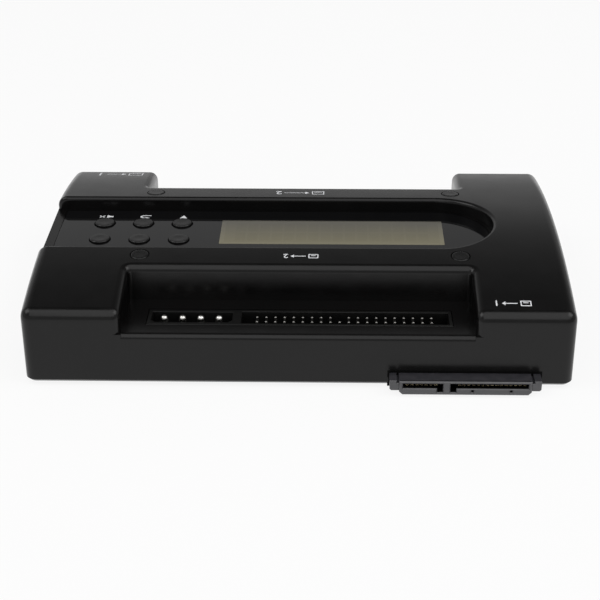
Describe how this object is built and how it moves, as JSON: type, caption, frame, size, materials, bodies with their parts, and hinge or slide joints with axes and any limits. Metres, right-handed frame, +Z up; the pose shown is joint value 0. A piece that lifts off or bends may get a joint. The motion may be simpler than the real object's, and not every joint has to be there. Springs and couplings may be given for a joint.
{
  "type": "drive duplicator",
  "caption": "Pocket stand-alone drive duplicator: crowned moulded case, a ledge of drive connectors on each side, recessed display panel with round keys.",
  "frame": {"origin": "middle of the case on the plane that it stands on", "axes": "+Y from the source side to the destination side, +Z up through the display, +X towards the panel's round end"},
  "size_m": [0.1508, 0.1068, 0.028],
  "materials": {
    "case_plastic": "fine satin moulded ABS",
    "foot_rubber": "matte",
    "screw_steel": "zinc plated",
    "plug_plastic": "satin",
    "panel_gloss": "glossy film on polycarbonate",
    "window_clear": "clear polycarbonate",
    "board_green": "solder mask",
    "bezel_steel": "black stamped steel",
    "light_guide": "milky acrylic",
    "display_glass": "grey-olive liquid crystal cell",
    "switch_plastic": "moulded nylon",
    "key_plastic": "satin ABS",
    "header_plastic": "glass filled nylon",
    "gold_pin": "gold flash",
    "tin_pin": "bright tin",
    "receptacle_plastic": "dark grey glass filled nylon",
    "jack_plastic": "moulded",
    "chip_epoxy": "epoxy",
    "crystal_can": "nickel",
    "capacitor_can": "bright",
    "coil_ferrite": "ferrite"
  },
  "bodies": {
    "case": {"top_cover": "case_plastic", "base_plate": "case_plastic", "rubber_feet": "foot_rubber", "case_screws": "screw_steel", "screw_plugs": "plug_plastic", "panel_overlay": "panel_gloss", "display_window": "window_clear", "display_board": "board_green", "display_bezel": "bezel_steel", "light_guide": "light_guide", "display_glass": "display_glass", "key_board": "board_green", "key_switches": "switch_plastic", "board_screws": "screw_steel", "main_board": "board_green", "power_jack": "jack_plastic", "power_jack_pin": "tin_pin", "controller_chip": "chip_epoxy", "memory_chips": "chip_epoxy", "flash_chip": "chip_epoxy", "crystal": "crystal_can", "capacitors": "capacitor_can", "coils": "coil_ferrite", "regulators": "chip_epoxy", "buzzer": "switch_plastic", "display_link": "switch_plastic", "key_link": "switch_plastic", "source_header": "header_plastic", "source_signal_pins": "gold_pin", "source_power_pins": "tin_pin", "source_receptacle": "receptacle_plastic", "source_contacts": "gold_pin", "destination_header": "header_plastic", "destination_signal_pins": "gold_pin", "destination_power_pins": "tin_pin", "destination_receptacle": "receptacle_plastic", "destination_contacts": "gold_pin"},
    "key_1_body": {"key_1": "key_plastic", "key_plunger_1": "switch_plastic"},
    "key_2_body": {"key_2": "key_plastic", "key_plunger_2": "switch_plastic"},
    "key_3_body": {"key_3": "key_plastic", "key_plunger_3": "switch_plastic"},
    "key_4_body": {"key_4": "key_plastic", "key_plunger_4": "switch_plastic"},
    "key_5_body": {"key_5": "key_plastic", "key_plunger_5": "switch_plastic"},
    "key_6_body": {"key_6": "key_plastic", "key_plunger_6": "switch_plastic"}
  },
  "joints": [
    {"name": "key_1_press", "type": "slide", "parent": "case", "child": "key_1_body", "axis": [0, 0, -1], "range_m": [0, 0.0005], "stiffness_N_per_m": 800},
    {"name": "key_2_press", "type": "slide", "parent": "case", "child": "key_2_body", "axis": [0, 0, -1], "range_m": [0, 0.0005], "stiffness_N_per_m": 800},
    {"name": "key_3_press", "type": "slide", "parent": "case", "child": "key_3_body", "axis": [0, 0, -1], "range_m": [0, 0.0005], "stiffness_N_per_m": 800},
    {"name": "key_4_press", "type": "slide", "parent": "case", "child": "key_4_body", "axis": [0, 0, -1], "range_m": [0, 0.0005], "stiffness_N_per_m": 800},
    {"name": "key_5_press", "type": "slide", "parent": "case", "child": "key_5_body", "axis": [0, 0, -1], "range_m": [0, 0.0005], "stiffness_N_per_m": 800},
    {"name": "key_6_press", "type": "slide", "parent": "case", "child": "key_6_body", "axis": [0, 0, -1], "range_m": [0, 0.0005], "stiffness_N_per_m": 800}
  ]
}
